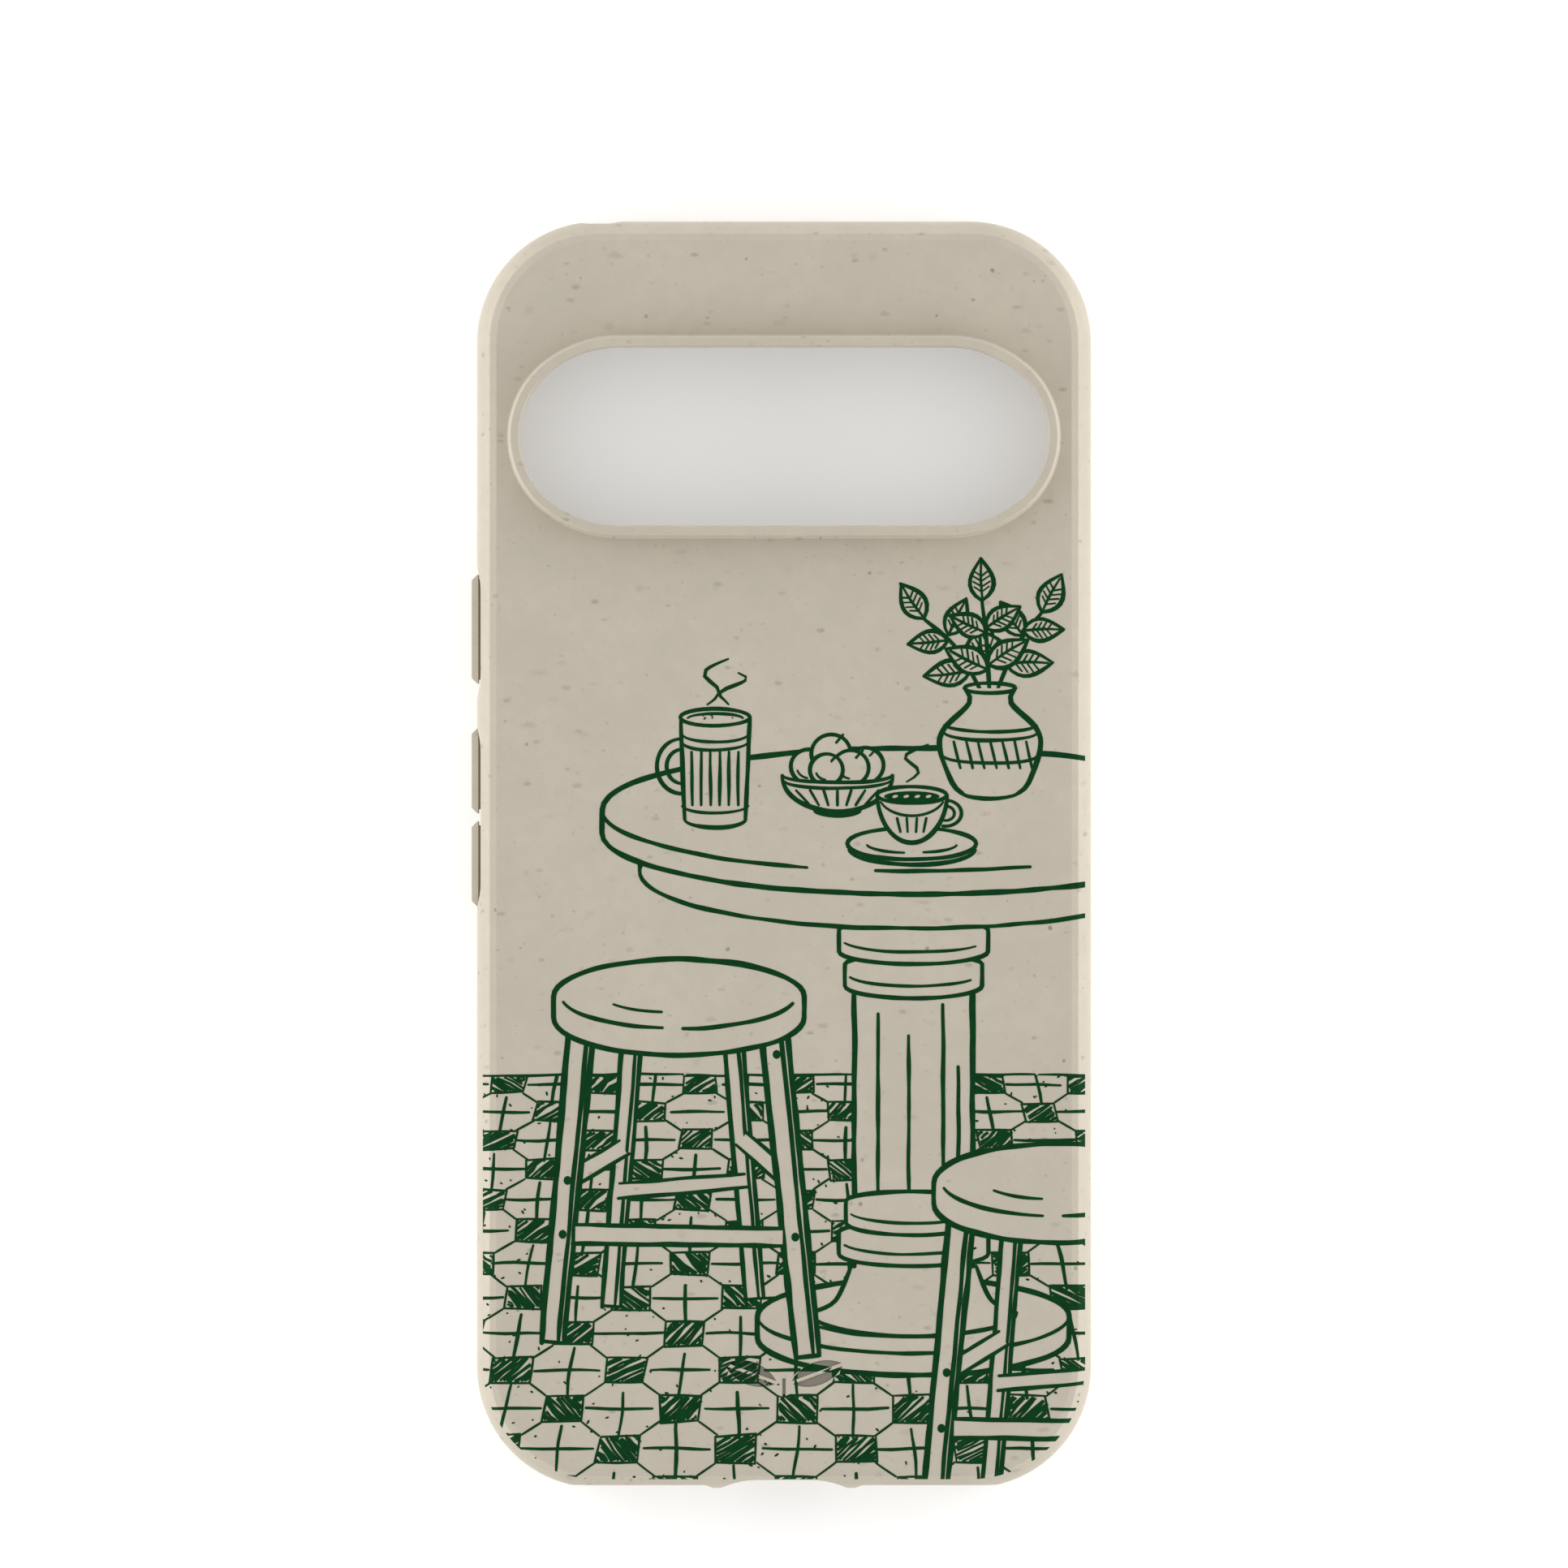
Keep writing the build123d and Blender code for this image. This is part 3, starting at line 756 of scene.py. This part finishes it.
def parted(faces):
    """The same triangles, where two parts that only touch at a corner get a (corner, copy) each."""
    fans = {}
    for number, own in enumerate(faces):
        for k, key in enumerate(own):
            fans.setdefault(key, []).append((number, own[(k + 1) % 3], own[(k + 2) % 3]))
    copy_of = {}
    for key, around in fans.items():
        groups = []
        for number, ahead, behind in around:
            joined = [g for g in groups if ahead in g[0] or behind in g[0]]
            merged = ({ahead, behind}, [number])
            for g in joined:
                merged[0].update(g[0])
                merged[1].extend(g[1])
                groups.remove(g)
            groups.append(merged)
        for copy, group in enumerate(groups):
            for number in group[1]:
                copy_of[(number, key)] = (key, copy)
    return [[copy_of[(number, key)] for key in own] for number, own in enumerate(faces)]


def print_film(shell):
    """Turns the drawing into one thin closed film of ink that follows every face of the shell's back."""
    corners, planes, folds = back_faces(shell)
    reach_x, low = PRINT_SIDE + FOLD_MARGIN, PRINT_LOW - FOLD_MARGIN
    folds = [(a, b) for a, b in folds
             if min(abs(a.x), abs(b.x)) < reach_x and max(a.y, b.y) > low and min(a.y, b.y) < PRINT_HIGH]
    flat, inked = flat_ink(folds)
    faces, heights = laid_on(corners, planes, flat, inked)
    faces = parted(faces)

    film = bmesh.new()
    tops, bottoms = {}, {}
    for own in faces:
        for name in own:
            if name not in tops:
                corner, _ = name
                point, z = flat[corner[0]], heights[corner]
                tops[name] = film.verts.new((point.x * MM, point.y * MM, (z + FILM_ABOVE) * MM))
                bottoms[name] = film.verts.new((point.x * MM, point.y * MM, (z - FILM_BELOW) * MM))
        film.faces.new([tops[name] for name in own])
        film.faces.new([bottoms[name] for name in reversed(own)])
    for one, other in outline_of(faces):
        film.faces.new((tops[other], tops[one], bottoms[one], bottoms[other]))
    mesh = bpy.data.meshes.new("ink_drawing")
    film.to_mesh(mesh)
    film.free()
    item = bpy.data.objects.new("ink_drawing", mesh)
    bpy.context.scene.collection.objects.link(item)
    return item


# ======== Materials ========
class Recipe:
    """A node material under construction."""

    def __init__(self, name):
        self.material = bpy.data.materials.new(name)
        self.material.use_nodes = True
        self.tree = self.material.node_tree
        self.surface = self.tree.nodes["Principled BSDF"]
        place = self.add("ShaderNodeTexCoord").outputs["Object"]
        self.place = self.scaled(place, 1 / MM)  # the object's own coordinates, in millimetres

    def add(self, kind, settings=None, inputs=None):
        """A new node, with its settings and with values or links for its inputs."""
        node = self.tree.nodes.new(kind)
        for name, value in (settings or {}).items():
            setattr(node, name, value)
        for name, value in (inputs or {}).items():
            self.put(node.inputs[name], value)
        return node

    def put(self, socket, value):
        """Links the socket to another one, or sets its value."""
        if isinstance(value, bpy.types.NodeSocket):
            self.tree.links.new(value, socket)
        else:
            socket.default_value = value

    def math(self, operation, a, b=0.0):
        return self.add("ShaderNodeMath", {"operation": operation}, {0: a, 1: b}).outputs[0]

    def vector_math(self, operation, a, b):
        return self.add("ShaderNodeVectorMath", {"operation": operation}, {0: a, 1: b}).outputs[0]

    def scaled(self, vector, gain):
        return self.add("ShaderNodeVectorMath", {"operation": "SCALE"}, {0: vector, "Scale": gain}).outputs[0]

    def ramp(self, value, start, end, low=0.0, high=1.0):
        """A smooth change from low to high while the value goes from start to end."""
        node = self.add("ShaderNodeMapRange", {"interpolation_type": "SMOOTHSTEP"})
        for socket, given in zip(node.inputs[:5], (value, start, end, low, high)):
            self.put(socket, given)
        return node.outputs[0]

    def noise(self, scale, detail=2.0):
        """Noise from 0 to 1, with scale features to the millimetre."""
        inputs = {"Vector": self.place, "Scale": scale, "Detail": detail}
        return self.add("ShaderNodeTexNoise", None, inputs).outputs["Fac"]

    def mix(self, amount, a, b):
        node = self.add("ShaderNodeMix", {"data_type": "RGBA"})
        for socket, value in ((0, amount), (6, a), (7, b)):
            self.put(node.inputs[socket], value)
        return node.outputs[2]

    def flecks(self, warp, cell, size, chance, turn=0.0, stretch=(1, 1, 1), shift=0.0, ragged=0.5, soft=0.5):
        """A mask with at most one fleck in each cell, its edge made ragged by the warp; millimetres."""
        push = self.scaled(warp, 2 * ragged * size)
        pushed = self.vector_math("ADD", self.place, push)
        place = self.vector_math("ADD", pushed, (shift, 0.7 * shift, 0.3 * shift))
        mapping = self.add("ShaderNodeMapping", None,
                           {"Vector": place, "Rotation": (0.3, 0.2, radians(turn)), "Scale": stretch})
        cells = self.add("ShaderNodeTexVoronoi", None, {"Vector": mapping.outputs[0], "Scale": 1 / cell})
        luck = self.add("ShaderNodeSeparateColor", None, {0: cells.outputs["Color"]})
        radius = self.math("MULTIPLY", self.math("ADD", luck.outputs[1], 0.35), size / cell)
        reach = self.math("DIVIDE", cells.outputs["Distance"], radius)
        shape = self.ramp(reach, 1.0 - soft, 1.0 + soft, 1.0, 0.0)
        chosen = self.math("LESS_THAN", luck.outputs[0], chance)
        strength = self.math("ADD", self.math("MULTIPLY", luck.outputs[2], 0.7), 0.3)
        return self.math("MULTIPLY", self.math("MULTIPLY", shape, chosen), strength)

    def inside(self, low, high):
        """1 inside a box of the object's own coordinates, 0 outside it."""
        parts = self.add("ShaderNodeSeparateXYZ", None, {0: self.place})
        mask = 1.0
        for axis in range(3):
            above = self.math("GREATER_THAN", parts.outputs[axis], low[axis])
            below = self.math("LESS_THAN", parts.outputs[axis], high[axis])
            mask = self.math("MULTIPLY", mask, self.math("MULTIPLY", above, below))
        return mask

    def bump(self, height, depth):
        """Relief whose full height is depth millimetres."""
        node = self.add("ShaderNodeBump", None, {"Height": height, "Distance": depth * MM, "Strength": 1.0})
        self.tree.links.new(node.outputs[0], self.surface.inputs["Normal"])


def tint(colour, gain):
    """A colour made lighter or darker, with its alpha."""
    return (*(c * gain for c in colour), 1)


def speckled(name, base, marked=False):
    """Satin plant-filled plastic: soft mottling, husk flecks, faint pink fibres and a fine-grained skin."""
    r = Recipe(name)
    cloud = r.noise(0.09, 3.0)
    blotch = r.noise(0.55, 3.0)
    colour = r.mix(r.ramp(cloud, 0.35, 0.65), tint(base, 0.975), tint(base, 1.02))
    colour = r.mix(r.ramp(blotch, 0.3, 0.7, 0.0, 0.5), colour, tint(base, 0.93))
    swirl = r.add("ShaderNodeTexNoise", None, {"Vector": r.place, "Scale": 3.2, "Detail": 1.0})
    warp = r.vector_math("SUBTRACT", swirl.outputs["Color"], (0.5, 0.5, 0.5))
    husk = 0.0
    for lie, strength, shade in FLECKS:
        mask = r.flecks(warp, **lie)
        colour = r.mix(r.math("MULTIPLY", mask, strength), colour, (*shade, 1))
        husk = r.math("MAXIMUM", husk, mask)
    if marked:
        colour = r.mix(r.inside(MARK_LOW, MARK_HIGH), colour, tint(base, MARK_SHADE))
    grain = r.noise(5.5, 2.0)
    r.put(r.surface.inputs["Base Color"], colour)
    rough = r.math("ADD", r.ramp(grain, 0.3, 0.7, 0.5, 0.6), r.math("MULTIPLY", husk, 0.12))
    r.put(r.surface.inputs["Roughness"], rough)
    r.surface.inputs["Specular IOR Level"].default_value = 0.35
    skin = r.math("ADD", r.math("MULTIPLY", grain, 0.5), r.math("MULTIPLY", husk, -0.6))
    r.bump(skin, 0.012)
    return r.material


def rubber(name, base):
    """Dark dull rubber with a fine grain."""
    r = Recipe(name)
    grain = r.noise(6.0, 3.0)
    wear = r.noise(0.8, 2.0)
    r.put(r.surface.inputs["Base Color"], r.mix(r.ramp(wear, 0.3, 0.7), tint(base, 0.85), tint(base, 1.2)))
    r.put(r.surface.inputs["Roughness"], r.ramp(grain, 0.3, 0.7, 0.7, 0.85))
    r.surface.inputs["Specular IOR Level"].default_value = 0.2
    r.bump(grain, 0.01)
    return r.material


def printed_ink(name, base):
    """Flat ink: a little uneven in depth of colour, with a few pinholes' worth of paler grain."""
    r = Recipe(name)
    lay = r.noise(0.7, 3.0)
    grain = r.noise(7.0, 2.0)
    colour = r.mix(r.ramp(lay, 0.3, 0.7), tint(base, 0.85), tint(base, 1.15))
    colour = r.mix(r.ramp(grain, 0.62, 0.8, 0.0, 0.25), colour, tint(base, 1.9))
    r.put(r.surface.inputs["Base Color"], colour)
    r.put(r.surface.inputs["Roughness"], r.ramp(grain, 0.3, 0.7, 0.72, 0.82))
    r.surface.inputs["Specular IOR Level"].default_value = 0.1
    r.bump(grain, 0.004)
    return r.material


def paper(name, base, glow):
    """Seamless white backdrop paper."""
    r = Recipe(name)
    r.put(r.surface.inputs["Base Color"], r.mix(r.noise(0.02, 2.0), tint(base, 0.99), tint(base, 1.0)))
    r.surface.inputs["Roughness"].default_value = 0.9
    r.surface.inputs["Specular IOR Level"].default_value = 0.0
    r.surface.inputs["Emission Color"].default_value = (1, 1, 1, 1)
    r.surface.inputs["Emission Strength"].default_value = glow
    return r.material


# ======== Studio ========
def camera():
    """Looks straight down."""
    data = bpy.data.cameras.new("camera")
    data.sensor_width = SENSOR
    reach = CAMERA_HEIGHT - shell_high[2]
    data.lens = SENSOR * reach / VIEW_WIDTH
    data.clip_end = FARTHEST_SEEN
    data.dof.use_dof = False
    item = bpy.data.objects.new("camera", data)
    item.location = (0, VIEW_MIDDLE_Y, CAMERA_HEIGHT)
    bpy.context.scene.collection.objects.link(item)
    bpy.context.scene.camera = item


def softbox(name, place, power):
    """A white rectangular light that faces the case."""
    data = bpy.data.lights.new(name, "AREA")
    data.shape = "RECTANGLE"
    data.size, data.size_y = LIGHT_SIZE
    data.energy = power
    item = bpy.data.objects.new(name, data)
    item.location = place
    item.rotation_euler = (Vector(LIT_POINT) - Vector(place)).to_track_quat("-Z", "Y").to_euler()
    bpy.context.scene.collection.objects.link(item)


def studio():
    """White sky, four softboxes and a white floor."""
    world = bpy.data.worlds.new("world")
    world.use_nodes = True
    sky = world.node_tree.nodes["Background"]
    sky.inputs["Color"].default_value = (1, 1, 1, 1)
    sky.inputs["Strength"].default_value = DOME
    bpy.context.scene.world = world
    bpy.context.scene.view_settings.view_transform = "Standard"
    side_out, side_up = SIDE_LIGHT
    end_out, end_up = END_LIGHT
    softbox("left", (-side_out, 0, side_up), SIDE_POWER)
    softbox("right", (side_out, 0, side_up), SIDE_POWER)
    softbox("top", (0, end_out, end_up), TOP_POWER)
    softbox("bottom", (0, -end_out, end_up), BOTTOM_POWER)
    mesh = bpy.data.meshes.new("floor")
    sheet = bmesh.new()
    bmesh.ops.create_grid(sheet, x_segments=1, y_segments=1, size=FLOOR_REACH)
    sheet.to_mesh(mesh)
    sheet.free()
    item = bpy.data.objects.new("floor", mesh)
    item.location.z = -FLOOR_GAP
    bpy.context.scene.collection.objects.link(item)
    mesh.materials.append(paper("backdrop", FLOOR_COLOUR, FLOOR_GLOW))


def dress(node, material):
    """Gives a CAD node its only material."""
    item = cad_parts[node]
    item.data.materials.clear()
    item.data.materials.append(material)


camera()
studio()
shell_finish = speckled("speckled_shell", SHELL_COLOUR, marked=True)
# the buttons' finish is the shell's plastic with painted light: a lighter colour against the shade beside the
# wall
button_painted_light_finish = speckled("speckled_button_painted_light", BUTTON_PAINTED_LIGHT_COLOUR)
web_finish = rubber("dark_web", WEB_COLOUR)
dress("shell", shell_finish)
for node in ("power_button", "volume_up_button", "volume_down_button"):
    dress(node, button_painted_light_finish)
for node in ("power_button_web", "volume_buttons_web"):
    dress(node, web_finish)

draw()
ink = print_film(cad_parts["shell"])
ink.data.materials.append(printed_ink("green_ink", INK_COLOUR))
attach(ink, "case")
